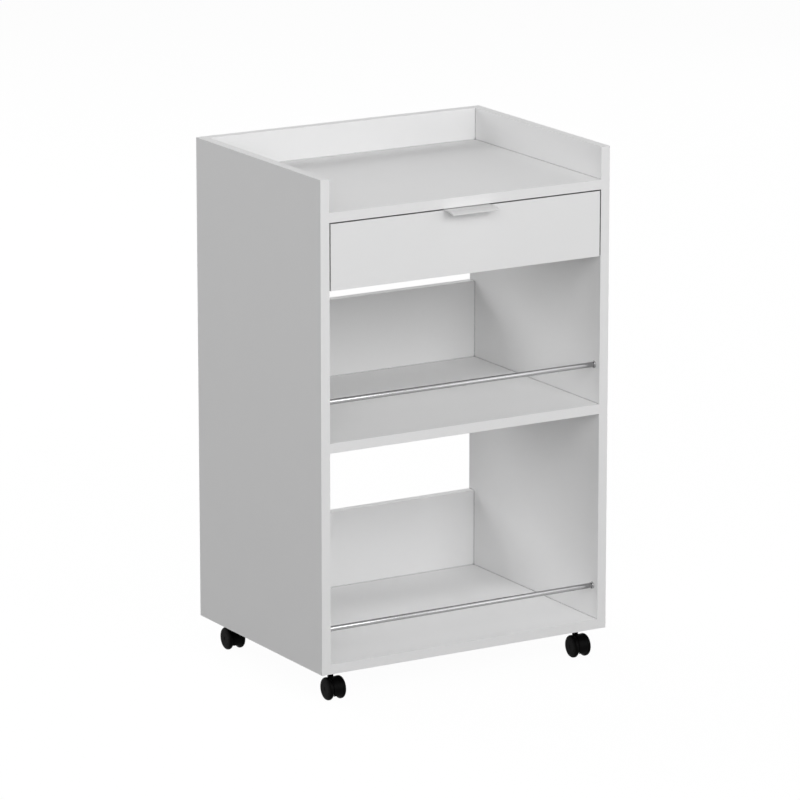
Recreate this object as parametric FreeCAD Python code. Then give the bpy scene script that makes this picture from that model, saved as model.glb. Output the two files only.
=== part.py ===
import FreeCAD, Part
import math
import os

# Microwave cart: a melamine case with a railed middle shelf and bottom, a drawer under the top
# tray, and four twin-wheel casters. Millimetres. X runs to the right seen from the front, Y runs
# from the front to the back, Z runs up from the floor. The origin is on the floor, in the middle
# of the footprint with the drawer pull counted in.

Vector = FreeCAD.Vector
X_AXIS = Vector(1, 0, 0)
Y_AXIS = Vector(0, 1, 0)
Z_AXIS = Vector(0, 0, 1)

# ---- case ----
case_width = 500.0
case_depth = 375.0
case_height = 750.0
board = 15.0                    # every melamine board of the case
rim_height = 50.0               # sides and back standing above the top board
lower_bay_height = 323.5        # clear height between the bottom board and the middle shelf
back_board_height = 136.5       # the three boards that close the back, one behind each shelf

# ---- cam fittings, dowels and screws that join the boards ----
cam_diameter = 15.0
cam_depth = 12.0
cam_setback = 24.0              # from the board's end to the middle of its cam
cam_edge_distance = 75.0        # from the board's front or back edge to the cam, clear of the casters
bolt_diameter = 6.0
bolt_grip = 11.0                # length of bolt screwed into the side panel
dowel_diameter = 8.0
dowel_length = 30.0
dowel_panel_depth = 10.0        # part of a dowel inside the side panel
screw_head_diameter = 9.0
screw_diameter = 5.0
screw_length = 48.0
screw_edge_distance = 90.0      # from a back board's end to its screw
fastener_clearance = 0.1        # all round a cam, bolt, dowel or screw in its bore

# ---- rail rods ----
rail_diameter = 8.0
rail_setback = 15.5             # from the front edges to the rod's middle
upper_rail_height = 59.0        # from the middle shelf's top to the rod's middle
lower_rail_height = 50.5        # from the bottom board's top to the rod's middle
rail_bore_depth = 8.0
rail_clearance = 0.1
rail_ring_diameter = 11.0
rail_ring_thickness = 2.0

# ---- drawer box ----
reveal = 2.0                    # gap round the drawer front
drawer_front_height = 100.0
drawer_board = 12.0
drawer_side_height = 72.0
drawer_side_rise = 10.0         # from the front's lower edge to the sides' lower edge
drawer_length = 300.0
drawer_bottom_thickness = 3.0
drawer_groove_depth = 6.0
drawer_groove_height = 9.0      # from the sides' lower edge to the groove
groove_clearance = 0.1
drawer_travel = 220.0           # out of the case before the runners' stops
drawer_dowel_diameter = 6.0
drawer_dowel_length = 24.0
drawer_dowel_front_depth = 8.0  # part of a dowel inside the drawer front
drawer_screw_head_diameter = 7.5
drawer_screw_diameter = 4.0
drawer_screw_length = 32.0
drawer_fixing_rise = 24.0       # from the box's lower edge to its lower dowels and screws
drawer_fixing_inset = 14.0      # from the box's upper edge to its upper ones

# ---- drawer pull ----
pull_length = 80.0
pull_reach = 27.0               # in front of the drawer front
pull_level = 9.0                # in front of the drawer front, before the lip starts to curl
pull_flange = 1.0               # sheet that lies over the drawer front's top edge
pull_lip = 1.8
pull_drop = 3.6                 # how far the lip curls down
pull_nose_slant = 0.6           # how far the lip's end leans back
pull_leg_height = 22.0          # behind the drawer front
pull_screw_spacing = 48.0
pull_screw_drop = 13.2          # below the drawer front's top edge
pull_screw_diameter = 3.5
pull_screw_head_diameter = 7.0
pull_screw_head_height = 1.8
pull_screw_length = 12.0

# ---- roller runners ----
runner_sheet = 1.2
runner_space = 12.5             # between the side panel and the drawer box
runner_gap = 0.3                # between a roller and the track that it runs on
roller_diameter = 19.0
roller_width = 6.5
roller_end_distance = 14.0      # from the end of a runner to its roller's middle
roller_side_gap = 0.8
roller_pin_diameter = 4.0
roller_fit = 0.05               # radial play of a roller on its pin
pin_head_diameter = 6.5
pin_head_height = 0.8
track_height = 16.0             # from the drawer sides' lower edge to the top of the track
track_width = 8.0
rail_flange_width = 9.5
runner_screw_diameter = 3.5
runner_screw_head_diameter = 6.5
runner_screw_length = 9.0
runner_screw_end_distance = 45.0
stop_height = 3.0               # tab in the channel that the drawer's roller meets at full travel

# ---- casters ----
caster_height = 47.5            # from the floor to the underside of the case
caster_inset = 33.5             # from the case's faces to the stem
caster_trail = 8.4              # from the stem forward to the axle
wheel_diameter = 35.0
wheel_outer_face = 14.0         # from the caster's middle to the wheel's outer face
wheel_inner_face = 3.0
wheel_hub_height = 11.5         # radius at which the wheel's inner slope starts
wheel_tread_start = 9.0
wheel_tread_end = 11.2
wheel_shoulder_face = 13.2      # from the caster's middle to the corner of the rounded shoulder
wheel_shoulder_drop = 1.7       # of that corner below the tread
wheel_face_diameter = 26.0
hood_clearance = 0.5            # between the hood and the wheels' slopes
hood_half_width = 7.3
hood_below_tread = 0.2          # how far the hood stays inside the wheel's outline
hood_bottom = 8.5               # from the floor to the hood's lower edge
web_side_gap = 0.3
neck_diameter = 9.0
neck_root_height = 9.0          # from the axle to where the neck starts inside the hood
stem_diameter = 8.0
stem_foot_height = 9.5          # from the axle to the lower end of the stem
stem_lower_diameter = 5.0
stem_collar_diameter = 10.5
stem_collar_height = 1.5
stem_length = 12.5              # part of the stem inside its socket
socket_diameter = 11.0
socket_flange_diameter = 17.0
socket_flange_height = 1.0
socket_depth = 13.5
swivel_fit = 0.05
swivel_gap = 0.3                # between the stem's collar and the socket's flange
axle_diameter = 4.0
axle_length = 25.0
wheel_fit = 0.05

# ---- places that follow from the sizes above ----
front = (pull_reach - case_depth) / 2
back = front + case_depth
right = case_width / 2
inner_right = right - board
case_bottom = caster_height
bottom_top = case_bottom + board
middle_bottom = bottom_top + lower_bay_height
middle_top = middle_bottom + board
case_top = case_bottom + case_height
tray_floor = case_top - rim_height
top_underside = tray_floor - board
shelf_back = back - board
SIDES = {"left": -1, "right": 1}
ENDS = {"front": -1, "back": 1}

os.makedirs("parts", exist_ok=True)


def save(name, *solids):
    """Write the solids as one named piece, or as one named group of like pieces."""
    shape = solids[0] if len(solids) == 1 else Part.makeCompound(list(solids))
    shape.exportStep(f"parts/{name}.step")


def block(x, y, z):
    """A box between three pairs of limits, in either order."""
    low = Vector(min(x), min(y), min(z))
    return Part.makeBox(abs(x[1] - x[0]), abs(y[1] - y[0]), abs(z[1] - z[0]), low)


def cylinder(diameter, start, end):
    """A round bar from one point to another."""
    along = end - start
    return Part.makeCylinder(diameter / 2, along.Length, start, along)


def countersunk_screw(head_diameter, diameter, length, start, along):
    """A flat-headed screw whose head lies flush at start and whose shank runs along."""
    head_height = (head_diameter - diameter) / 2
    head = Part.makeCone(head_diameter / 2, diameter / 2, head_height, start, along)
    shank_start = start + along * head_height
    shank = Part.makeCylinder(diameter / 2, length - head_height, shank_start, along)
    return head.fuse(shank).removeSplitter()


def runner_screw(start, along, clearance):
    """A short countersunk screw of the runners, or its bore when clearance is given."""
    return countersunk_screw(runner_screw_head_diameter + 2 * clearance,
                             runner_screw_diameter + 2 * clearance,
                             runner_screw_length, start, along)


def outline_face(points):
    """A flat face from corner points. A third point in an entry makes that side an arc."""
    edges = []
    for entry, following in zip(points, points[1:] + points[:1]):
        if isinstance(entry, tuple):
            edges.append(Part.Arc(entry[0], entry[1], corner(following)).toShape())
        else:
            edges.append(Part.LineSegment(entry, corner(following)).toShape())
    return Part.Face(Part.Wire(edges))


def corner(entry):
    """The starting corner of an outline's entry."""
    return entry[0] if isinstance(entry, tuple) else entry


def turned(points, centre):
    """A solid of revolution about an X axis through centre. Points are (x, radius)."""
    face = outline_face([centre + Vector(x, 0, radius) for x, radius in points])
    return face.revolve(centre, X_AXIS, 360)


# ---- fasteners of the case: each one is kept with the bores that it needs ----
cams = []
bolts = []
dowels = []
back_screws = []
side_bores = {"left": [], "right": []}


def cam_joint(side, board_bores, y, board_bottom):
    """A cam in the board's underside that draws the side panel's bolt tight."""
    sign = SIDES[side]
    middle = board_bottom + board / 2
    cam_x = sign * (inner_right - cam_setback)
    cam_base = Vector(cam_x, y, board_bottom)
    cams.append(cylinder(cam_diameter, cam_base, cam_base + Z_AXIS * cam_depth))
    cam_bore_diameter = cam_diameter + 2 * fastener_clearance
    cam_bore_top = cam_base + Z_AXIS * (cam_depth + fastener_clearance)
    board_bores.append(cylinder(cam_bore_diameter, cam_base, cam_bore_top))
    bolt_outer = Vector(sign * (inner_right + bolt_grip), y, middle)
    bolt_inner = Vector(sign * (inner_right - cam_setback + cam_diameter / 2), y, middle)
    bolts.append(cylinder(bolt_diameter, bolt_inner, bolt_outer))
    bore_diameter = bolt_diameter + 2 * fastener_clearance
    panel_face = Vector(sign * inner_right, y, middle)
    side_bores[side].append(cylinder(bore_diameter, panel_face, bolt_outer))
    board_bores.append(cylinder(bore_diameter, Vector(cam_x, y, middle), panel_face))


def dowel_joint(side, board_bores, y, z):
    """A dowel half in the board's end and half in the side panel."""
    sign = SIDES[side]
    outer = Vector(sign * (inner_right + dowel_panel_depth), y, z)
    inner = Vector(sign * (inner_right + dowel_panel_depth - dowel_length), y, z)
    dowels.append(cylinder(dowel_diameter, inner, outer))
    bore_diameter = dowel_diameter + 2 * fastener_clearance
    bore = cylinder(bore_diameter, inner, outer)
    board_bores.append(bore)
    side_bores[side].append(bore)


# ---- shelves: top board, middle shelf and bottom board ----
shelf_bottoms = {"top_board": top_underside, "middle_shelf": middle_bottom, "bottom_board": case_bottom}
shelf_bores = {name: [] for name in shelf_bottoms}
for name, bottom in shelf_bottoms.items():
    for side in SIDES:
        cam_joint(side, shelf_bores[name], front + cam_edge_distance, bottom)
        cam_joint(side, shelf_bores[name], shelf_back - cam_edge_distance, bottom)

# ---- back boards: one behind each shelf, flush with it below or with the rim above ----
back_board_bottoms = {
    "gallery_back_board": (case_top - back_board_height, top_underside),
    "middle_back_board": (middle_bottom, middle_bottom),
    "lower_back_board": (case_bottom, case_bottom),
}
shelf_behind = dict(zip(back_board_bottoms, shelf_bottoms))
for name, (bottom, shelf_bottom) in back_board_bottoms.items():
    bores = []
    for side, sign in SIDES.items():
        dowel_joint(side, bores, back - board / 2, bottom + back_board_height / 2)
        start = Vector(sign * (inner_right - screw_edge_distance), back, shelf_bottom + board / 2)
        screw = countersunk_screw(screw_head_diameter, screw_diameter, screw_length, start, -Y_AXIS)
        bore = countersunk_screw(screw_head_diameter + 2 * fastener_clearance,
                                 screw_diameter + 2 * fastener_clearance,
                                 screw_length, start, -Y_AXIS)
        back_screws.append(screw)
        bores.append(bore)
        shelf_bores[shelf_behind[name]].append(bore)
    back_board = block((-inner_right, inner_right), (shelf_back, back),
                       (bottom, bottom + back_board_height))
    save(name, back_board.cut(bores))


# ---- caster sockets, one near each corner of the bottom board ----
def caster_places():
    """Name, stem x and stem y of each caster."""
    for end, end_sign in ENDS.items():
        for side, side_sign in SIDES.items():
            y = front + caster_inset if end_sign < 0 else back - caster_inset
            yield f"{end}_{side}", side_sign * (right - caster_inset), y


for place, x, y in caster_places():
    base = Vector(x, y, case_bottom)
    sleeve = cylinder(socket_diameter, base, base + Z_AXIS * socket_depth)
    flange = cylinder(socket_flange_diameter, base - Z_AXIS * socket_flange_height, base)
    bore_bottom = base - Z_AXIS * socket_flange_height
    bore_top = base + Z_AXIS * (stem_length + swivel_gap)
    bore = cylinder(stem_diameter + 2 * swivel_fit, bore_bottom, bore_top)
    save(f"caster_socket_{place}", sleeve.fuse(flange).removeSplitter().cut(bore))
    shelf_bores["bottom_board"].append(
        cylinder(socket_diameter + 2 * fastener_clearance, base, base + Z_AXIS * socket_depth))

for name, bottom in shelf_bottoms.items():
    shelf = block((-inner_right, inner_right), (front, shelf_back), (bottom, bottom + board))
    save(name, shelf.cut(shelf_bores[name]))

# ---- rail rods across the two open bays, with a trim ring at each end ----
rail_heights = {
    "upper_rail": middle_top + upper_rail_height,
    "lower_rail": bottom_top + lower_rail_height,
}
rail_y = front + rail_setback
rings = []
for name, z in rail_heights.items():
    reach = inner_right + rail_bore_depth - rail_clearance
    rod = cylinder(rail_diameter, Vector(-reach, rail_y, z), Vector(reach, rail_y, z))
    save(name, rod)
    for side, sign in SIDES.items():
        wall = Vector(sign * inner_right, rail_y, z)
        bore_end = wall + X_AXIS * sign * rail_bore_depth
        ring_end = wall - X_AXIS * sign * rail_ring_thickness
        hole_diameter = rail_diameter + 2 * rail_clearance
        side_bores[side].append(cylinder(hole_diameter, wall, bore_end))
        ring = cylinder(rail_ring_diameter, wall, ring_end)
        rings.append(ring.cut(cylinder(hole_diameter, wall, ring_end)))
save("rail_rings", *rings)

# ---- drawer: where its box lies ----
front_face_back = front + board
drawer_front_top = top_underside - reveal
drawer_front_bottom = drawer_front_top - drawer_front_height
box_bottom = drawer_front_bottom + drawer_side_rise
box_top = box_bottom + drawer_side_height
box_right = inner_right - runner_space
box_inner_right = box_right - drawer_board
box_back = front_face_back + drawer_length
groove_bottom = box_bottom + drawer_groove_height
groove_top = groove_bottom + drawer_bottom_thickness + groove_clearance

# the bottom panel runs in a groove in all four boards
panel_right = box_inner_right + drawer_groove_depth - groove_clearance
panel_front = front_face_back - drawer_groove_depth + groove_clearance
panel_back = box_back - drawer_board + drawer_groove_depth - groove_clearance
groove = block((-box_inner_right - drawer_groove_depth, box_inner_right + drawer_groove_depth),
               (front_face_back - drawer_groove_depth, box_back - drawer_board + drawer_groove_depth),
               (groove_bottom, groove_top))
save("drawer_bottom_panel",
     block((-panel_right, panel_right), (panel_front, panel_back),
           (groove_bottom, groove_bottom + drawer_bottom_thickness)))

# ---- drawer pull: a bent strip over the front's top edge, curled down at the lip ----
flange_top = drawer_front_top + pull_flange
lip_end = front - pull_reach
curl_start = front - pull_level
curl_middle = (curl_start + lip_end) / 2
leg_back = front_face_back + pull_flange
curl_middle_drop = pull_drop / 4        # a quarter of the drop at half the run starts the curl level


def pull_section():
    """Outline of the pull seen from its end."""
    def at(y, z):
        return Vector(-pull_length / 2, y, z)

    return [
        at(leg_back, drawer_front_top - pull_leg_height),
        at(leg_back, flange_top),
        (at(curl_start, flange_top), at(curl_middle, flange_top - curl_middle_drop)),
        at(lip_end, flange_top - pull_drop),
        (at(lip_end + pull_nose_slant, flange_top - pull_drop - pull_lip),
         at(curl_middle, flange_top - curl_middle_drop - pull_lip)),
        at(curl_start, flange_top - pull_lip),
        at(front, flange_top - pull_lip),
        at(front, drawer_front_top),
        at(front_face_back, drawer_front_top),
        at(front_face_back, drawer_front_top - pull_leg_height),
    ]


pull = outline_face(pull_section()).extrude(X_AXIS * pull_length)
pull_screws = []
pull_screw_bores = []
for sign in SIDES.values():
    start = Vector(sign * pull_screw_spacing / 2, leg_back, drawer_front_top - pull_screw_drop)
    head_end = start + Y_AXIS * pull_screw_head_height
    tip = start - Y_AXIS * pull_screw_length
    shank = cylinder(pull_screw_diameter, start, tip)
    pull_screws.append(cylinder(pull_screw_head_diameter, start, head_end).fuse(shank).removeSplitter())
    pull_screw_bores.append(cylinder(pull_screw_diameter + 2 * fastener_clearance, start, tip))
save("drawer_pull", pull.cut(pull_screw_bores))
save("pull_screws", *pull_screws)

# ---- drawer front, sides and back, glued at the front with dowels and screwed at the back ----
drawer_dowels = []
drawer_screws = []
front_bores = [groove] + pull_screw_bores
drawer_back_bores = [groove]
fixing_heights = (box_bottom + drawer_fixing_rise, box_top - drawer_fixing_inset)
for side, sign in SIDES.items():
    bores = [groove]
    for z in fixing_heights:
        dowel_x = sign * (box_right - drawer_board / 2)
        dowel_front = Vector(dowel_x, front_face_back - drawer_dowel_front_depth, z)
        dowel_back = dowel_front + Y_AXIS * drawer_dowel_length
        drawer_dowels.append(cylinder(drawer_dowel_diameter, dowel_front, dowel_back))
        dowel_bore = cylinder(drawer_dowel_diameter + 2 * fastener_clearance, dowel_front, dowel_back)
        front_bores.append(dowel_bore)
        bores.append(dowel_bore)
        start = Vector(sign * box_right, box_back - drawer_board / 2, z)
        inward = X_AXIS * -sign
        drawer_screws.append(countersunk_screw(
            drawer_screw_head_diameter, drawer_screw_diameter, drawer_screw_length, start, inward))
        screw_bore = countersunk_screw(drawer_screw_head_diameter + 2 * fastener_clearance,
                                       drawer_screw_diameter + 2 * fastener_clearance,
                                       drawer_screw_length, start, inward)
        bores.append(screw_bore)
        drawer_back_bores.append(screw_bore)
    drawer_side = block((sign * box_inner_right, sign * box_right), (front_face_back, box_back),
                        (box_bottom, box_top))
    for y in (front_face_back + runner_screw_end_distance, box_back - runner_screw_end_distance):
        start = Vector(sign * (box_right - drawer_board / 2), y, box_bottom - runner_sheet)
        bores.append(runner_screw(start, Z_AXIS, fastener_clearance))
    save(f"drawer_side_{side}", drawer_side.cut(bores))

front_edge = inner_right - reveal
drawer_front = block((-front_edge, front_edge), (front, front_face_back),
                     (drawer_front_bottom, drawer_front_top))
save("drawer_front", drawer_front.cut(front_bores))
drawer_back = block((-box_inner_right, box_inner_right), (box_back - drawer_board, box_back),
                    (box_bottom, box_top))
save("drawer_back", drawer_back.cut(drawer_back_bores))
save("drawer_dowels", *drawer_dowels)
save("drawer_screws", *drawer_screws)

# ---- roller runners ----
# The case's channel carries a roller at its front end, on which the drawer's track slides out.
# The drawer's track carries a roller at its back end, which runs inside the channel.
roller_radius = roller_diameter / 2
track_top = box_bottom + track_height
front_roller_z = track_top - runner_sheet - runner_gap - roller_radius
channel_top = track_top + runner_gap
rear_roller_z = channel_top - runner_gap - roller_radius
channel_bottom = rear_roller_z - roller_radius - runner_gap
runner_front = front_face_back
front_roller_y = runner_front + roller_end_distance
rear_roller_y = box_back - roller_end_distance
flange_start = front_roller_y + roller_radius + roller_side_gap
stop_reach = math.sqrt(roller_radius ** 2 - (roller_radius - stop_height + runner_gap) ** 2)
stop_y = rear_roller_y - drawer_travel - stop_reach - runner_gap
track_end = rear_roller_y - roller_radius - roller_side_gap


def side_section(side, x_and_z, start, end):
    """A strip of one bent section along Y. Points are (distance from the side panel, z)."""
    sign = SIDES[side]
    corners = [Vector(sign * (inner_right - x), start, z) for x, z in x_and_z]
    return outline_face(corners).extrude(Y_AXIS * (end - start))


def roller_pin(side, fixed_x, free_x, sheet, y, z):
    """A headed pin riveted into a runner's sheet. Both x are distances from the side panel."""
    sign = SIDES[side]
    step = 1 if free_x > fixed_x else -1
    shank_start = Vector(sign * (inner_right - fixed_x + step * (sheet - fastener_clearance)), y, z)
    head_start = Vector(sign * (inner_right - free_x), y, z)
    head_end = Vector(sign * (inner_right - free_x - step * pin_head_height), y, z)
    shank = cylinder(roller_pin_diameter, shank_start, head_start)
    return shank.fuse(cylinder(pin_head_diameter, head_start, head_end)).removeSplitter()


def roller(side, near_x, far_x, y, z):
    """A nylon roller with its bore. Both x are distances from the side panel."""
    sign = SIDES[side]
    start = Vector(sign * (inner_right - near_x), y, z)
    end = Vector(sign * (inner_right - far_x), y, z)
    bore = cylinder(roller_pin_diameter + 2 * roller_fit, start, end)
    return cylinder(roller_diameter, start, end).cut(bore)


front_pins = []
rear_pins = []
channel_screws = []
track_screws = []
sheet = runner_sheet
pin_hole_diameter = roller_pin_diameter + 2 * fastener_clearance
track_face = runner_space - sheet
for side, sign in SIDES.items():
    # channel on the side panel
    channel_section = [
        (0, channel_bottom - sheet), (rail_flange_width, channel_bottom - sheet),
        (rail_flange_width, channel_bottom), (sheet, channel_bottom),
        (sheet, channel_top), (rail_flange_width, channel_top),
        (rail_flange_width, channel_top + sheet), (0, channel_top + sheet),
    ]
    web_section = [
        (0, channel_bottom - sheet), (sheet, channel_bottom - sheet),
        (sheet, channel_top + sheet), (0, channel_top + sheet),
    ]
    channel = side_section(side, channel_section, flange_start, box_back)
    stop = block((sign * (inner_right - sheet), sign * (inner_right - rail_flange_width)),
                 (stop_y - sheet, stop_y), (channel_bottom, channel_bottom + stop_height))
    web = side_section(side, web_section, runner_front, flange_start)
    channel = channel.fuse([web, stop]).removeSplitter()
    pin_hole = cylinder(pin_hole_diameter, Vector(sign * inner_right, front_roller_y, front_roller_z),
                        Vector(sign * (inner_right - sheet), front_roller_y, front_roller_z))
    channel_cuts = [pin_hole]
    for y in (runner_front + runner_screw_end_distance, (runner_front + box_back) / 2,
              box_back - runner_screw_end_distance):
        start = Vector(sign * (inner_right - sheet), y, rear_roller_z)
        channel_screws.append(runner_screw(start, X_AXIS * sign, 0))
        bore = runner_screw(start, X_AXIS * sign, fastener_clearance)
        channel_cuts.append(bore)
        side_bores[side].append(bore)
    save(f"runner_channel_{side}", channel.cut(channel_cuts))
    near = sheet + roller_side_gap
    far = near + roller_width
    save(f"front_roller_{side}", roller(side, near, far, front_roller_y, front_roller_z))
    front_pins.append(roller_pin(side, sheet, far + roller_fit, sheet, front_roller_y, front_roller_z))

    # track under the drawer side
    track_section = [
        (runner_space + drawer_board, box_bottom - sheet), (track_face, box_bottom - sheet),
        (track_face, track_top - sheet), (track_face - track_width, track_top - sheet),
        (track_face - track_width, track_top), (runner_space, track_top),
        (runner_space, box_bottom), (runner_space + drawer_board, box_bottom),
    ]
    angle_section = [
        (runner_space + drawer_board, box_bottom - sheet), (track_face, box_bottom - sheet),
        (track_face, track_top), (runner_space, track_top),
        (runner_space, box_bottom), (runner_space + drawer_board, box_bottom),
    ]
    track = side_section(side, track_section, front_face_back, track_end)
    track = track.fuse(side_section(side, angle_section, track_end, box_back)).removeSplitter()
    pin_hole = cylinder(pin_hole_diameter,
                        Vector(sign * (inner_right - track_face), rear_roller_y, rear_roller_z),
                        Vector(sign * (inner_right - runner_space), rear_roller_y, rear_roller_z))
    track_cuts = [pin_hole]
    for y in (front_face_back + runner_screw_end_distance, box_back - runner_screw_end_distance):
        start = Vector(sign * (box_right - drawer_board / 2), y, box_bottom - sheet)
        track_screws.append(runner_screw(start, Z_AXIS, 0))
        track_cuts.append(runner_screw(start, Z_AXIS, fastener_clearance))
    save(f"runner_track_{side}", track.cut(track_cuts))
    near = track_face - roller_side_gap
    far = near - roller_width
    save(f"rear_roller_{side}", roller(side, near, far, rear_roller_y, rear_roller_z))
    rear_pins.append(roller_pin(side, track_face, far - roller_fit, sheet, rear_roller_y, rear_roller_z))
save("front_roller_pins", *front_pins)
save("rear_roller_pins", *rear_pins)
save("channel_screws", *channel_screws)
save("track_screws", *track_screws)

# ---- side panels, with every bore that the joints above need ----
for side, sign in SIDES.items():
    panel = block((sign * inner_right, sign * right), (front, back), (case_bottom, case_top))
    save(f"side_panel_{side}", panel.cut(side_bores[side]))
save("cam_discs", *cams)
save("cam_bolts", *bolts)
save("back_board_dowels", *dowels)
save("back_board_screws", *back_screws)

# ---- twin-wheel casters ----
wheel_radius = wheel_diameter / 2
hood_radius = wheel_radius - hood_below_tread
web_half = wheel_inner_face - web_side_gap
slope_shift = wheel_hub_height - wheel_inner_face       # the wheel's inner slope rises at 45 degrees


def caster_housing(axle_centre, stem_x, stem_y, neck_top):
    """Web between the wheels, hood round them and neck above, moulded in one."""
    def slope(x):
        return x + slope_shift + hood_clearance * math.sqrt(2)

    hood = turned([
        (-web_half, axle_diameter / 2), (-web_half, slope(web_half)),
        (-hood_half_width, slope(hood_half_width)), (-hood_half_width, hood_radius),
        (hood_half_width, hood_radius), (hood_half_width, slope(hood_half_width)),
        (web_half, slope(web_half)), (web_half, axle_diameter / 2),
    ], axle_centre)
    neck = cylinder(neck_diameter, Vector(stem_x, stem_y, axle_centre.z + neck_root_height),
                    Vector(stem_x, stem_y, neck_top))
    wheel_spaces = [turned([
        (sign * web_half, 0), (sign * web_half, slope(web_half)),
        (sign * hood_half_width, slope(hood_half_width)), (sign * hood_half_width, 0),
    ], axle_centre) for sign in SIDES.values()]
    under = block((stem_x - wheel_diameter, stem_x + wheel_diameter),
                  (axle_centre.y - wheel_diameter, axle_centre.y + wheel_diameter), (0, hood_bottom))
    return hood.fuse(neck).cut(wheel_spaces + [under]).removeSplitter()


def caster_wheel(axle_centre, sign):
    """A wheel with a sloping inner side, a flat tread and a rounded outer shoulder."""
    bore_end = axle_length / 2 + web_side_gap
    bore_radius = axle_diameter / 2 + wheel_fit
    shoulder = wheel_radius - wheel_shoulder_drop
    profile = [
        (wheel_inner_face, bore_radius), (wheel_inner_face, wheel_hub_height),
        (wheel_tread_start, wheel_radius), (wheel_tread_end, wheel_radius),
        (wheel_shoulder_face, shoulder), (wheel_outer_face, wheel_face_diameter / 2),
        (wheel_outer_face, 0), (bore_end, 0), (bore_end, bore_radius),
    ]
    return turned([(sign * x, radius) for x, radius in profile], axle_centre)


for place, x, y in caster_places():
    axle_centre = Vector(x, y - caster_trail, wheel_radius)
    collar_top = case_bottom - socket_flange_height - swivel_gap
    neck_top = collar_top - stem_collar_height
    stem_foot = axle_centre.z + stem_foot_height
    stem = cylinder(stem_diameter, Vector(x, y, collar_top), Vector(x, y, case_bottom + stem_length))
    stem = stem.fuse([
        cylinder(stem_collar_diameter, Vector(x, y, neck_top), Vector(x, y, collar_top)),
        cylinder(stem_lower_diameter, Vector(x, y, stem_foot), Vector(x, y, neck_top)),
    ]).removeSplitter()
    stem_hole = cylinder(stem_lower_diameter + 2 * fastener_clearance,
                         Vector(x, y, stem_foot - fastener_clearance), Vector(x, y, neck_top))
    save(f"caster_{place}_stem", stem)
    save(f"caster_{place}_housing", caster_housing(axle_centre, x, y, neck_top).cut(stem_hole))
    half_axle = X_AXIS * (axle_length / 2)
    axle = cylinder(axle_diameter, axle_centre - half_axle, axle_centre + half_axle)
    save(f"caster_{place}_axle", axle)
    for side, sign in SIDES.items():
        save(f"caster_{place}_wheel_{side}", caster_wheel(axle_centre, sign))
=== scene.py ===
import math
import bmesh
import bpy
from mathutils import Matrix, Vector


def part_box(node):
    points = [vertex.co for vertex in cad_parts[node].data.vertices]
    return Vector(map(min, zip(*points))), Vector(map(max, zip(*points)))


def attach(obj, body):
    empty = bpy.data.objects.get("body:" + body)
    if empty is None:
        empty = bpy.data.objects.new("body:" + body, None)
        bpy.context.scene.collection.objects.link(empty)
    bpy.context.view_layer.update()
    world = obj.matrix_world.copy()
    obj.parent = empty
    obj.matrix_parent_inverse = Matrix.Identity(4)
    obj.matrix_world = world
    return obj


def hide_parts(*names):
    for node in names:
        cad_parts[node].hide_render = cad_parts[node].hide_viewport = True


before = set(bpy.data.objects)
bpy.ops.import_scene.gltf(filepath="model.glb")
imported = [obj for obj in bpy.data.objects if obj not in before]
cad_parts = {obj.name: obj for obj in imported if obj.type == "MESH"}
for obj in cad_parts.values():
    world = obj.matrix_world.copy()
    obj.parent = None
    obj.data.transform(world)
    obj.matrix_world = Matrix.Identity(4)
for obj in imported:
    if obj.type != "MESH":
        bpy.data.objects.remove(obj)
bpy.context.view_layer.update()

# ---- Side panels, shelves and back boards ----
# Particle board faced on both sides with white melamine foil and closed all round with thin white
# edging, the arrises just taken off. Sawn to size, drilled for its fittings, then screwed together.
BOARDS = ("side_panel_left", "side_panel_right", "top_board", "middle_shelf", "bottom_board",
          "gallery_back_board", "middle_back_board", "lower_back_board")
arris = 0.00025
melamine_white = (0.87, 0.87, 0.87, 1)
melamine_shade = (0.85, 0.85, 0.853, 1)
cloud_scale = 14.0
pearl_scale = 1700.0
pearl_height = 0.00008
# Painted shade: the grey that the foil's colour is darkened towards in joints and gaps.
painted_shade_grey = (0.13, 0.13, 0.135, 1)
painted_shade_reach = 0.004           # how near the next board has to be for shade to be painted into a joint or gap
painted_shade_open = 0.8              # openness from which no shade is painted
painted_shade_gain = 3.3


class Wire:
    """An output of a material's node. Arithmetic on it adds Math nodes to the same material."""

    def __init__(self, socket):
        self.socket = socket

    def node(self, kind, settings, inputs, output=0):
        """Add a node: its settings are set first, then its inputs get their values or wires."""
        tree = self.socket.id_data
        made = tree.nodes.new("ShaderNode" + kind)
        for name, value in settings.items():
            setattr(made, name, value)
        for name, value in inputs.items():
            if isinstance(value, Wire):
                tree.links.new(value.socket, made.inputs[name])
            else:
                made.inputs[name].default_value = value
        return Wire(made.outputs[output]) if made.outputs else None

    def __add__(self, other):
        return self.node("Math", {"operation": "ADD"}, {0: self, 1: other})

    def __rsub__(self, other):
        return self.node("Math", {"operation": "SUBTRACT"}, {0: other, 1: self})

    def __mul__(self, other):
        return self.node("Math", {"operation": "MULTIPLY"}, {0: self, 1: other})

    __radd__ = __add__
    __rmul__ = __mul__

    def mixed(self, first, second):
        """The colour between two colours or wires, by the share that this wire gives."""
        return self.node("Mix", {"data_type": "RGBA"}, {0: self, 6: first, 7: second}, output=2)


def new_finish(name):
    """A material without a shader yet, and the wire of its object coordinates."""
    material = bpy.data.materials.new(name)
    material.use_nodes = True
    tree = material.node_tree
    tree.nodes.clear()
    return material, Wire(tree.nodes.new("ShaderNodeTexCoord").outputs["Object"])
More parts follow.
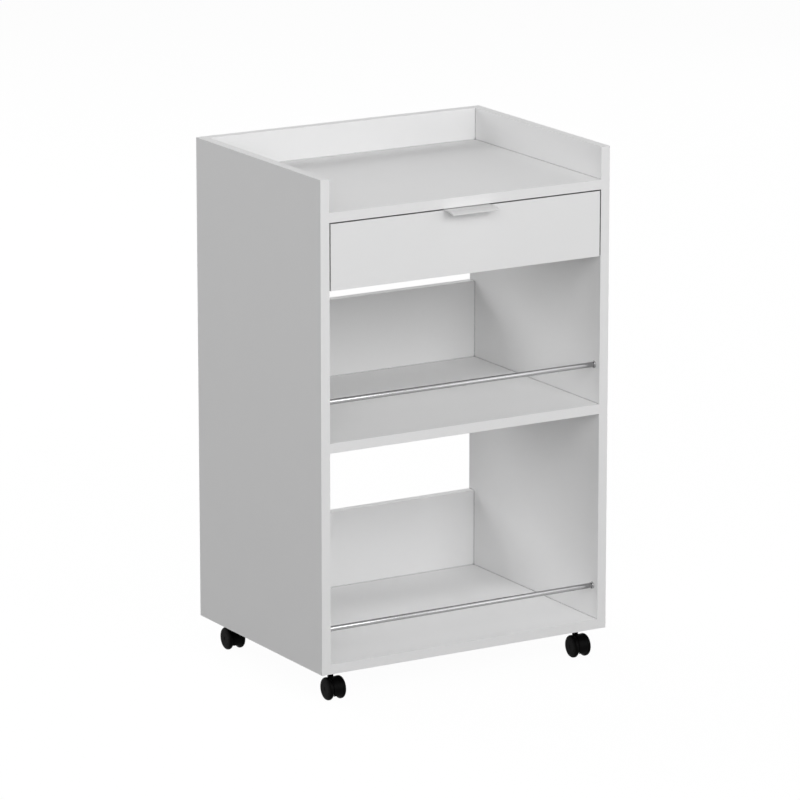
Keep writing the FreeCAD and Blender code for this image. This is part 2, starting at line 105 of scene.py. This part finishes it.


# The foil has a fine pearl emboss and a faint cloudiness. Shade is painted into its joints and gaps,
# where ambient occlusion finds the next surface near.
melamine, place = new_finish("melamine_white")
cloud = place.node("TexNoise", {}, {"Vector": place, "Scale": cloud_scale, "Detail": 3.0,
                                    "Roughness": 0.55})
pearl = place.node("TexNoise", {}, {"Vector": place, "Scale": pearl_scale, "Detail": 2.0,
                                    "Roughness": 0.6})
# Painted shade: the less open ambient occlusion finds the surface, the more its colour is darkened to
# the painted shade grey.
open_air = place.node("AmbientOcclusion", {"samples": 4}, {"Distance": painted_shade_reach}, output=1)
depth = place.node("Math", {"operation": "MAXIMUM"}, {0: painted_shade_open - open_air, 1: 0.0})
painted_shade_share = place.node("Math", {"operation": "MINIMUM"}, {0: depth * depth * painted_shade_gain, 1: 1.0})
foil = (cloud * 0.8 + pearl * 0.2).mixed(melamine_white, melamine_shade)
relief = place.node("Bump", {}, {"Strength": 0.35, "Distance": pearl_height, "Height": pearl})
place.node("OutputMaterial", {}, {"Surface": place.node("BsdfPrincipled", {}, {
    "Base Color": painted_shade_share.mixed(foil, painted_shade_grey), "Roughness": 0.4 + 0.1 * pearl + 0.04 * cloud,
    "Normal": relief, "Specular IOR Level": 0.35})})


def dress(node, material, bevel=0.0):
    """Give a CAD node its finish, and take off its arrises where bevel is given."""
    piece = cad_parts[node]
    for held in piece.material_slots:
        held.material = material
    if bevel:
        weld = piece.modifiers.new("weld", "WELD")
        weld.merge_threshold = 0.000001
        rounding = piece.modifiers.new("arris", "BEVEL")
        rounding.width = bevel
        rounding.segments = 2
        rounding.limit_method = "ANGLE"
        rounding.angle_limit = math.radians(50)
        rounding.harden_normals = True


for board in BOARDS:
    dress(board, melamine, arris)

# ---- Cams, bolts and dowels ----
# Zinc cams let into the undersides of the boards, each with a driver cross in a sunk face, draw the
# steel bolts of the side panels tight. Grooved beech dowels keep the back boards in line.
cam_radius = 0.0075
cam_depth = 0.012
cam_rim = 0.0011
cam_sink = 0.0004
cross_rim = 0.0012
cross_arm = 0.0016
cross_depth = 0.0045
zinc_light = (0.62, 0.63, 0.64, 1)
zinc_dark = (0.42, 0.43, 0.45, 1)
beech_light = (0.70, 0.53, 0.34, 1)
beech_dark = (0.55, 0.38, 0.22, 1)

zinc, place = new_finish("zinc_steel")
spangle = place.node("TexVoronoi", {}, {"Vector": place, "Scale": 900.0})
tarnish = place.node("TexNoise", {}, {"Vector": place, "Scale": 260.0, "Detail": 4.0})
place.node("OutputMaterial", {}, {"Surface": place.node("BsdfPrincipled", {}, {
    "Base Color": (spangle * 0.6 + tarnish * 0.5).mixed(zinc_light, zinc_dark),
    "Metallic": 1.0,
    "Roughness": 0.3 + 0.2 * tarnish,
    "Normal": place.node("Bump", {}, {"Strength": 0.3, "Distance": 0.00005, "Height": tarnish})})})


def cross_recess(bm, face, rim, arm_width, depth):
    """Sink a driver cross into a flat round face that looks along Z."""
    bmesh.ops.inset_region(bm, faces=[face], thickness=rim, use_even_offset=True)
    centre = face.calc_center_median()
    inward = face.normal * -depth
    half = arm_width / 2
    flat = [face, *face.edges, *face.verts]
    for across in (Vector((1, 0, 0)), Vector((0, 1, 0))):
        for offset in (-half, half):
            flat = bmesh.ops.bisect_plane(bm, geom=flat, plane_co=centre + across * offset,
                                          plane_no=across)["geom"]
    cross = []
    for part in flat:
        if isinstance(part, bmesh.types.BMFace):
            away = part.calc_center_median() - centre
            if min(abs(away.x), abs(away.y)) < half:
                cross.append(part)
    sunk = bmesh.ops.extrude_face_region(bm, geom=cross)["geom"]
    floor = [v for v in sunk if isinstance(v, bmesh.types.BMVert)]
    bmesh.ops.delete(bm, geom=cross, context="FACES")
    bmesh.ops.translate(bm, verts=floor, vec=inward)
    bmesh.ops.scale(bm, verts=floor, vec=(0.82, 0.82, 1), space=Matrix.Translation(-centre))


def soften(bm, width):
    """Round off every edge that is sharper than 35 degrees."""
    sharp = [e for e in bm.edges if e.is_manifold and e.calc_face_angle() > math.radians(35)]
    bmesh.ops.bevel(bm, geom=sharp, offset=width, offset_type="OFFSET", segments=2, affect="EDGES",
                    profile=0.5, material=-1, clamp_overlap=True)


def repeated(bm, placings):
    """One copy of the mesh at each placing, as one new mesh."""
    pattern = bpy.data.meshes.new("pattern")
    bm.to_mesh(pattern)
    bm.free()
    whole = bmesh.new()
    for placing in placings:
        before = len(whole.verts)
        whole.from_mesh(pattern)
        whole.verts.ensure_lookup_table()
        bmesh.ops.transform(whole, matrix=placing, verts=whole.verts[before:])
    bpy.data.meshes.remove(pattern)
    return whole


def settle(bm, name, body, material, replaced):
    """Make the mesh a piece that rides on its body and stands for a CAD node."""
    bmesh.ops.remove_doubles(bm, verts=bm.verts, dist=0.0000005)
    bmesh.ops.recalc_face_normals(bm, faces=bm.faces)
    mesh = bpy.data.meshes.new(name)
    bm.to_mesh(mesh)
    bm.free()
    mesh.materials.append(material)
    mesh.shade_smooth()
    mesh.set_sharp_from_angle(angle=math.radians(32))
    piece = bpy.data.objects.new(name, mesh)
    bpy.context.scene.collection.objects.link(piece)
    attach(piece, body)
    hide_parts(replaced)


cam = bmesh.new()
bmesh.ops.create_cone(cam, cap_ends=True, segments=40, radius1=cam_radius, radius2=cam_radius,
                      depth=cam_depth, matrix=Matrix.Translation((0, 0, cam_depth / 2)))
cam.normal_update()
cam_face = min(cam.faces, key=lambda f: f.calc_center_median().z)
bmesh.ops.inset_region(cam, faces=[cam_face], thickness=cam_rim, use_even_offset=True)
bmesh.ops.translate(cam, verts=cam_face.verts, vec=(0, 0, cam_sink))
cross_recess(cam, cam_face, cross_rim, cross_arm, cross_depth)
soften(cam, 0.00015)
cam_low, cam_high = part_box("cam_discs")
cam_placings = []
for board in ("top_board", "middle_shelf", "bottom_board"):
    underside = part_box(board)[0].z
    for x in (cam_low.x + cam_radius, cam_high.x - cam_radius):
        for y in (cam_low.y + cam_radius, cam_high.y - cam_radius):
            tightened = Matrix.Rotation(math.radians(x * 90 + y * 160), 4, "Z")
            cam_placings.append(Matrix.Translation((x, y, underside)) @ tightened)
settle(repeated(cam, cam_placings), "cams", "case", zinc, "cam_discs")
dress("cam_bolts", zinc)

beech, place = new_finish("beech_dowel")
stretched = place.node("Mapping", {}, {"Vector": place, "Scale": (40.0, 900.0, 900.0)})
fleck = place.node("TexNoise", {}, {"Vector": stretched, "Scale": 1.0, "Detail": 4.0})
place.node("OutputMaterial", {}, {"Surface": place.node("BsdfPrincipled", {}, {
    "Base Color": fleck.mixed(beech_light, beech_dark), "Roughness": 0.6 + 0.2 * fleck})})
dress("back_board_dowels", beech)
dress("drawer_dowels", beech)

# ---- Back board screws ----
# Countersunk zinc screws through the back boards into the shelves' edges, driven flush.
# Only their heads with the driver cross show on the back of the cart.
screw_head_radius = 0.0045
screw_shank_radius = 0.0025


def flat_headed_screw(head_radius, shank_radius, length):
    """A countersunk screw along -Z with its flat head at the origin."""
    bm = bmesh.new()
    head_height = head_radius - shank_radius
    bmesh.ops.create_cone(bm, cap_ends=True, segments=32, radius1=shank_radius, radius2=head_radius,
                          depth=head_height, matrix=Matrix.Translation((0, 0, -head_height / 2)))
    bm.normal_update()
    low = min(bm.faces, key=lambda f: f.calc_center_median().z)
    shank = bmesh.ops.extrude_discrete_faces(bm, faces=[low])["faces"][0]
    bmesh.ops.translate(bm, verts=shank.verts, vec=(0, 0, -(length - head_height) * 0.9))
    tip = bmesh.ops.extrude_discrete_faces(bm, faces=[shank])["faces"][0]
    bmesh.ops.translate(bm, verts=tip.verts, vec=(0, 0, -(length - head_height) * 0.1))
    bmesh.ops.scale(bm, verts=tip.verts, vec=(0.15, 0.15, 1),
                    space=Matrix.Translation(-tip.calc_center_median()))
    bm.normal_update()
    top = max(bm.faces, key=lambda f: f.calc_center_median().z)
    cross_recess(bm, top, head_radius * 0.42, head_radius * 0.24, head_radius * 0.5)
    return bm


back_low, back_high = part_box("back_board_screws")
screw_placings = []
for board in ("top_board", "middle_shelf", "bottom_board"):
    low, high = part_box(board)
    for x in (back_low.x + screw_head_radius, back_high.x - screw_head_radius):
        backward = Matrix.Rotation(math.radians(-90), 4, "X")
        screw_placings.append(Matrix.Translation((x, back_high.y, (low.z + high.z) / 2)) @ backward)
screw = flat_headed_screw(screw_head_radius, screw_shank_radius, back_high.y - back_low.y)
settle(repeated(screw, screw_placings), "board_screws", "case", zinc,
       "back_board_screws")

# ---- Rail rods ----
# Steel rods 8 mm thick across both open bays, ground and plated, pushed into blind holes in the
# side panels. A pressed trim ring covers each hole.
rod_steel = (0.36, 0.36, 0.365, 1)
ring_bore = 0.00405
ring_radius = 0.0055
ring_thickness = 0.002

plated, place = new_finish("chromed_rod")
drawn = place.node("Mapping", {}, {"Vector": place, "Scale": (6.0, 1500.0, 1500.0)})
line = place.node("TexNoise", {}, {"Vector": drawn, "Scale": 1.0, "Detail": 3.0})
place.node("OutputMaterial", {}, {"Surface": place.node("BsdfPrincipled", {}, {
    "Base Color": rod_steel, "Metallic": 1.0, "Roughness": 0.18 + 0.08 * line,
    "Normal": place.node("Bump", {}, {"Strength": 0.15, "Distance": 0.00002, "Height": line})})})


def along_x(x, y, z):
    """Turns a piece made along Z to run along X from a point."""
    return Matrix.Translation((x, y, z)) @ Matrix.Rotation(math.radians(90), 4, "Y")


for rail in ("upper_rail", "lower_rail"):
    low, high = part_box(rail)
    middle = (low + high) / 2
    rod = bmesh.new()
    radius = (high.z - low.z) / 2
    bmesh.ops.create_cone(rod, cap_ends=True, segments=64, radius1=radius, radius2=radius,
                          depth=high.x - low.x, matrix=along_x(0, middle.y, middle.z))
    soften(rod, 0.0004)
    settle(rod, rail + "_rod", "case", plated, rail)


def spun(profile, steps=48, ring=False):
    """A solid of revolution about Z from (radius, z) points. A ring's profile closes on itself."""
    bm = bmesh.new()
    points = [bm.verts.new((radius, 0, z)) for radius, z in profile]
    pairs = list(zip(points, points[1:])) + ([(points[-1], points[0])] if ring else [])
    edges = [bm.edges.new(pair) for pair in pairs]
    bmesh.ops.spin(bm, geom=points + edges, cent=(0, 0, 0), axis=(0, 0, 1), angle=math.tau, steps=steps,
                   use_merge=True)
    bmesh.ops.remove_doubles(bm, verts=bm.verts, dist=0.000001)
    bmesh.ops.recalc_face_normals(bm, faces=bm.faces)
    return bm


ring_low, ring_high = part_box("rail_rings")
trim = spun([(ring_bore, 0), (ring_radius, 0), (ring_radius, 0.0012), (0.0047, ring_thickness),
             (ring_bore, ring_thickness)], ring=True)
soften(trim, 0.0003)
ring_placings = []
for rail in ("upper_rail", "lower_rail"):
    low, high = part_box(rail)
    middle = (low + high) / 2
    ring_placings.append(along_x(ring_low.x, middle.y, middle.z))
    ring_placings.append(Matrix.Translation((ring_high.x, middle.y, middle.z))
                         @ Matrix.Rotation(math.radians(-90), 4, "Y"))
settle(repeated(trim, ring_placings), "trim_rings", "case", plated, "rail_rings")

# ---- Drawer box and front ----
# The front is the same melamine board as the case. The box behind it is 12 mm board, and its bottom
# is thin painted hardboard that slides in grooves. Glued and dowelled in front, screwed at the back.
hardboard_white = (0.78, 0.78, 0.77, 1)
hardboard_shade = (0.72, 0.72, 0.71, 1)

dress("drawer_front", melamine, arris)
for board in ("drawer_side_left", "drawer_side_right", "drawer_back"):
    dress(board, melamine, arris)

hardboard, place = new_finish("hardboard_white")
fibre = place.node("TexNoise", {}, {"Vector": place, "Scale": 420.0, "Detail": 5.0, "Roughness": 0.7})
mesh_lines = place.node("TexWave", {"bands_direction": "DIAGONAL"}, {"Vector": place, "Scale": 240.0,
                                                                     "Distortion": 2.0})
place.node("OutputMaterial", {}, {"Surface": place.node("BsdfPrincipled", {}, {
    "Base Color": fibre.mixed(hardboard_white, hardboard_shade),
    "Roughness": 0.55 + 0.15 * fibre,
    "Normal": place.node("Bump", {}, {"Strength": 0.25, "Distance": 0.0001,
                                      "Height": fibre * 0.7 + mesh_lines * 0.3})})})
dress("drawer_bottom_panel", hardboard)

drawer_screw_low, drawer_screw_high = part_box("drawer_screws")
drawer_screw_radius = 0.00375
drawer_shank_radius = 0.002
drawer_screw_length = 0.032
screw_placings = []
for x, turn in ((drawer_screw_low.x, -90), (drawer_screw_high.x, 90)):
    for z in (drawer_screw_low.z + drawer_screw_radius, drawer_screw_high.z - drawer_screw_radius):
        y = (drawer_screw_low.y + drawer_screw_high.y) / 2
        screw_placings.append(Matrix.Translation((x, y, z))
                              @ Matrix.Rotation(math.radians(turn), 4, "Y"))
screw = flat_headed_screw(drawer_screw_radius, drawer_shank_radius, drawer_screw_length)
settle(repeated(screw, screw_placings), "box_screws", "drawer", zinc,
       "drawer_screws")

# ---- Drawer pull ----
# A strip of steel bent over the front's top edge, its leg screwed on behind and its lip curled down
# under the fingers. Powder coated in the white of the boards.
pull_white = (0.88, 0.88, 0.88, 1)
pull_shade = (0.85, 0.85, 0.85, 1)
pull_low, pull_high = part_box("drawer_pull")
front_low, front_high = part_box("drawer_front")
lip = 0.0018
curl_drop = 0.0036
curl_start = front_low.y - (front_low.y - pull_low.y) / 3
curl_run = curl_start - pull_low.y
curl_radius = (curl_run ** 2 + curl_drop ** 2) / (2 * curl_drop)
pan_radius = 0.0035
pan_height = 0.0018
pan_shank = 0.00175
pan_length = 0.012

powder, place = new_finish("white_pull")
orange_peel = place.node("TexNoise", {}, {"Vector": place, "Scale": 1300.0, "Detail": 2.0})
place.node("OutputMaterial", {}, {"Surface": place.node("BsdfPrincipled", {}, {
    "Base Color": orange_peel.mixed(pull_white, pull_shade),
    "Roughness": 0.36 + 0.1 * orange_peel,
    "Normal": place.node("Bump", {}, {"Strength": 0.25, "Distance": 0.0001,
                                      "Height": orange_peel})})})

pull = bmesh.new()
lip_under = pull_high.z - lip
outline = [(pull_high.y, pull_low.z), (pull_high.y, pull_high.z), (curl_start, pull_high.z),
           (curl_start, lip_under), (front_low.y, lip_under), (front_low.y, front_high.z),
           (front_high.y, front_high.z), (front_high.y, pull_low.z)]
end = pull.faces.new([pull.verts.new((pull_low.x, y, z)) for y, z in outline])
other_end = bmesh.ops.extrude_face_region(pull, geom=[end], use_keep_orig=True)["geom"]
bmesh.ops.translate(pull, verts=[v for v in other_end if isinstance(v, bmesh.types.BMVert)],
                    vec=(pull_high.x - pull_low.x, 0, 0))
bmesh.ops.recalc_face_normals(pull, faces=pull.faces)
nose = min(pull.faces, key=lambda f: f.calc_center_median().y)
bmesh.ops.spin(pull, geom=[nose, *nose.edges, *nose.verts],
               cent=(0, curl_start, pull_high.z - curl_radius), axis=(1, 0, 0),
               angle=math.asin(curl_run / curl_radius), steps=12)
bmesh.ops.recalc_face_normals(pull, faces=pull.faces)
soften(pull, 0.0003)
settle(pull, "tab_pull", "drawer", powder, "drawer_pull")

screw_low, screw_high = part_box("pull_screws")
pan = spun([(0.0021, pan_height), (0.0029, 0.0013), (pan_radius, 0.0004), (pan_radius, 0),
            (pan_shank, 0), (pan_shank, 0.001 - pan_length), (0, -pan_length)], steps=32)
pan_top = bmesh.ops.holes_fill(pan, edges=[e for e in pan.edges if e.is_boundary])["faces"][0]
bmesh.ops.recalc_face_normals(pan, faces=pan.faces)
cross_recess(pan, pan_top, 0.0004, 0.0009, 0.0012)
pan_z = (screw_low.z + screw_high.z) / 2
pan_y = screw_high.y - pan_height
pan_placings = [Matrix.Translation((x, pan_y, pan_z)) @ Matrix.Rotation(math.radians(-90), 4, "X")
                for x in (screw_low.x + pan_radius, screw_high.x - pan_radius)]
settle(repeated(pan, pan_placings), "pan_screws", "drawer", zinc, "pull_screws")

# ---- Roller runners ----
# Two pairs of white powder-coated steel channels with a nylon roller each: the case's pair carries
# the drawer's track in front, and the drawer's own pair rolls inside the channels at the back.
runner_white = (0.78, 0.78, 0.78, 1)
runner_shade = (0.73, 0.73, 0.73, 1)
nylon_white = (0.80, 0.80, 0.78, 1)
roller_radius = 0.0095
roller_bore = 0.00205
roller_dish = 0.0006            # how deep the faces are dished between hub and rim

coated, place = new_finish("white_steel")
orange_peel = place.node("TexNoise", {}, {"Vector": place, "Scale": 900.0, "Detail": 2.0})
place.node("OutputMaterial", {}, {"Surface": place.node("BsdfPrincipled", {}, {
    "Base Color": orange_peel.mixed(runner_white, runner_shade),
    "Roughness": 0.35 + 0.1 * orange_peel,
    "Normal": place.node("Bump", {}, {"Strength": 0.3, "Distance": 0.0001, "Height": orange_peel})})})
for side in ("left", "right"):
    dress("runner_channel_" + side, coated)
    dress("runner_track_" + side, coated)
for hidden in ("channel_screws", "track_screws", "front_roller_pins", "rear_roller_pins"):
    dress(hidden, zinc)

roller_nylon, place = new_finish("nylon_white")
milky = place.node("TexNoise", {}, {"Vector": place, "Scale": 500.0, "Detail": 3.0})
place.node("OutputMaterial", {}, {"Surface": place.node("BsdfPrincipled", {}, {
    "Base Color": nylon_white, "Roughness": 0.38 + 0.12 * milky,
    "Normal": place.node("Bump", {}, {"Strength": 0.15, "Distance": 0.0001, "Height": milky})})})
for roller in ("front_roller_left", "front_roller_right", "rear_roller_left", "rear_roller_right"):
    low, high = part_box(roller)
    centre = (low + high) / 2
    width = high.x - low.x
    dished = width - roller_dish
    disc = spun([(roller_bore, 0), (0.0042, 0), (0.0048, roller_dish), (0.0078, roller_dish),
                 (0.0084, 0), (roller_radius, 0), (roller_radius, width), (0.0084, width),
                 (0.0078, dished), (0.0048, dished), (0.0042, width), (roller_bore, width)], ring=True)
    soften(disc, 0.0003)
    bmesh.ops.transform(disc, matrix=along_x(low.x, centre.y, centre.z), verts=disc.verts)
    settle(disc, roller + "_nylon", roller, roller_nylon, roller)

# ---- Casters ----
# Twin-wheel furniture casters of black nylon: a hood with a thin web between the wheels, a steel
# stem in a pressed sleeve, and two domed wheels that turn each by itself on one axle.
PLACES = ("front_left", "front_right", "back_left", "back_right")
caster_black = (0.002, 0.002, 0.002, 1)
steel_black = (0.015, 0.015, 0.016, 1)
wheel_radius = 0.0175
wheel_inner = 0.003             # the wheel's faces, from the middle of the caster
wheel_outer = 0.014
wheel_bore = 0.00205

nylon_black, place = new_finish("nylon_black")
matt = place.node("TexNoise", {}, {"Vector": place, "Scale": 700.0, "Detail": 3.0})
place.node("OutputMaterial", {}, {"Surface": place.node("BsdfPrincipled", {}, {
    "Base Color": caster_black, "Roughness": 0.34 + 0.12 * matt, "Specular IOR Level": 0.03,
    "Normal": place.node("Bump", {}, {"Strength": 0.15, "Distance": 0.0001, "Height": matt})})})

black_steel, place = new_finish("black_steel")
oxide = place.node("TexNoise", {}, {"Vector": place, "Scale": 600.0, "Detail": 3.0})
place.node("OutputMaterial", {}, {"Surface": place.node("BsdfPrincipled", {}, {
    "Base Color": steel_black, "Metallic": 0.6, "Roughness": 0.3 + 0.2 * oxide})})

for place_name in PLACES:
    body = "caster_" + place_name
    stem_low, stem_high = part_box(body + "_stem")
    axle_low, axle_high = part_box(body + "_axle")
    stem_x = (stem_low.x + stem_high.x) / 2
    axle = (axle_low + axle_high) / 2
    dress(body + "_stem", black_steel)
    dress(body + "_axle", zinc)
    dress("caster_socket_" + place_name, zinc)
    dress(body + "_housing", nylon_black)
    for side, turn in (("left", -90), ("right", 90)):
        wheel = spun([(wheel_bore, wheel_inner), (0.0112, wheel_inner), (0.0121, 0.0034),
                      (0.0171, 0.0084), (wheel_radius, 0.0092), (wheel_radius, 0.0108),
                      (0.0173, 0.0118), (0.0166, 0.0128), (0.0153, 0.0135), (0.0135, 0.0139),
                      (0.0112, wheel_outer), (0.0108, 0.0137), (0.0104, wheel_outer),
                      (0.0035, wheel_outer), (0.0031, 0.0136), (0, 0.0136)])
        bmesh.ops.holes_fill(wheel, edges=[e for e in wheel.edges if e.is_boundary])
        on_axle = (Matrix.Translation((stem_x, axle.y, axle.z))
                   @ Matrix.Rotation(math.radians(turn), 4, "Y"))
        bmesh.ops.transform(wheel, matrix=on_axle, verts=wheel.verts)
        spinning = f"{body}_wheel_{side}"
        settle(wheel, spinning + "_tyre", spinning, nylon_black, spinning)

# ---- Studio ----
# A pale floor that keeps the cart's shadow under a white surround. The key lamp stands almost in front,
# with two large fills a side, and four windows of light stand beside and behind the cart.
camera_place = Vector((-4.0745, -6.8233, 2.3788))
camera_yaw = 0.53703
camera_pitch = 0.24399
camera_lens = 242.88
cart_middle = Vector((0, 0, 0.45))
lamp_distance = 5.0
floor_size = 60.0
floor_grey = (0.3, 0.3, 0.3, 1)
floor_glow = 1.14
floor_white_share = 0.85        # the rest of the floor takes the cart's shadow
ambient = 0.06

camera = bpy.data.cameras.new("camera")
camera.sensor_width = 36.0
camera.lens = camera_lens
camera.clip_end = 200.0
viewer = bpy.data.objects.new("camera", camera)
viewer.location = camera_place
viewer.rotation_euler = (math.pi / 2 - camera_pitch, 0.0, -camera_yaw)
bpy.context.scene.collection.objects.link(viewer)
bpy.context.scene.camera = viewer


def soft_lamp(name, azimuth, elevation, size, watts):
    """A square lamp that looks at the cart's middle. Azimuth 0 is in front, and 90 on the right."""
    rise = math.radians(elevation)
    away = Matrix.Rotation(math.radians(azimuth), 3, "Z") @ Vector((0, -math.cos(rise), math.sin(rise)))
    light = bpy.data.lights.new(name, "AREA")
    light.shape = "SQUARE"
    light.size = size
    light.energy = watts
    lamp = bpy.data.objects.new(name, light)
    lamp.location = cart_middle + away * lamp_distance
    lamp.rotation_euler = away.to_track_quat("Z", "Y").to_euler()
    lamp.visible_camera = False
    bpy.context.scene.collection.objects.link(lamp)


soft_lamp("key", 4, 25, 1.8, 67.0)
soft_lamp("left_fill", -30, 25, 3.0, 79.0)
soft_lamp("side_fill", -68, 18, 3.0, 22.0)
soft_lamp("right_fill", 32, 10, 2.0, 24.0)
soft_lamp("right_high", 60, 30, 4.0, 34.0)
soft_lamp("window", 180, 30, 3.0, 46.0)
soft_lamp("window_high", 180, 50, 3.0, 16.0)
soft_lamp("window_left", -150, 25, 3.0, 85.0)
soft_lamp("window_right", 120, 12, 3.0, 30.0)

paper, place = new_finish("floor_paper")
paper_seen = place.node("LightPath", {}, {}, "Is Camera Ray")
paper_mirrored = place.node("LightPath", {}, {}, "Is Glossy Ray")
lit = place.node("BsdfDiffuse", {}, {"Color": floor_grey})
glow = place.node("Emission", {}, {"Color": (1, 1, 1, 1), "Strength": floor_glow})
white_share = (paper_seen + paper_mirrored) * floor_white_share
seen_white = place.node("MixShader", {}, {0: white_share, 1: lit, 2: glow})
place.node("OutputMaterial", {}, {"Surface": seen_white})

floor = bmesh.new()
bmesh.ops.create_grid(floor, x_segments=1, y_segments=1, size=floor_size)
floor_mesh = bpy.data.meshes.new("floor")
floor.to_mesh(floor_mesh)
floor.free()
floor_mesh.materials.append(paper)
floor_piece = bpy.data.objects.new("floor", floor_mesh)
bpy.context.scene.collection.objects.link(floor_piece)

world = bpy.data.worlds.new("surround")
bpy.context.scene.world = world
world.use_nodes = True
world.node_tree.nodes.clear()
rays = world.node_tree.nodes.new("ShaderNodeLightPath")
seen = Wire(rays.outputs["Is Camera Ray"]) + Wire(rays.outputs["Is Glossy Ray"])
seen = seen + Wire(rays.outputs["Is Transmission Ray"])
strength = seen.node("Math", {"operation": "MINIMUM"}, {0: seen * (1 - ambient) + ambient, 1: 1.0})
sky = seen.node("Background", {}, {"Color": (1, 1, 1, 1), "Strength": strength})
seen.node("OutputWorld", {}, {"Surface": sky})

bpy.context.scene.view_settings.view_transform = "Standard"
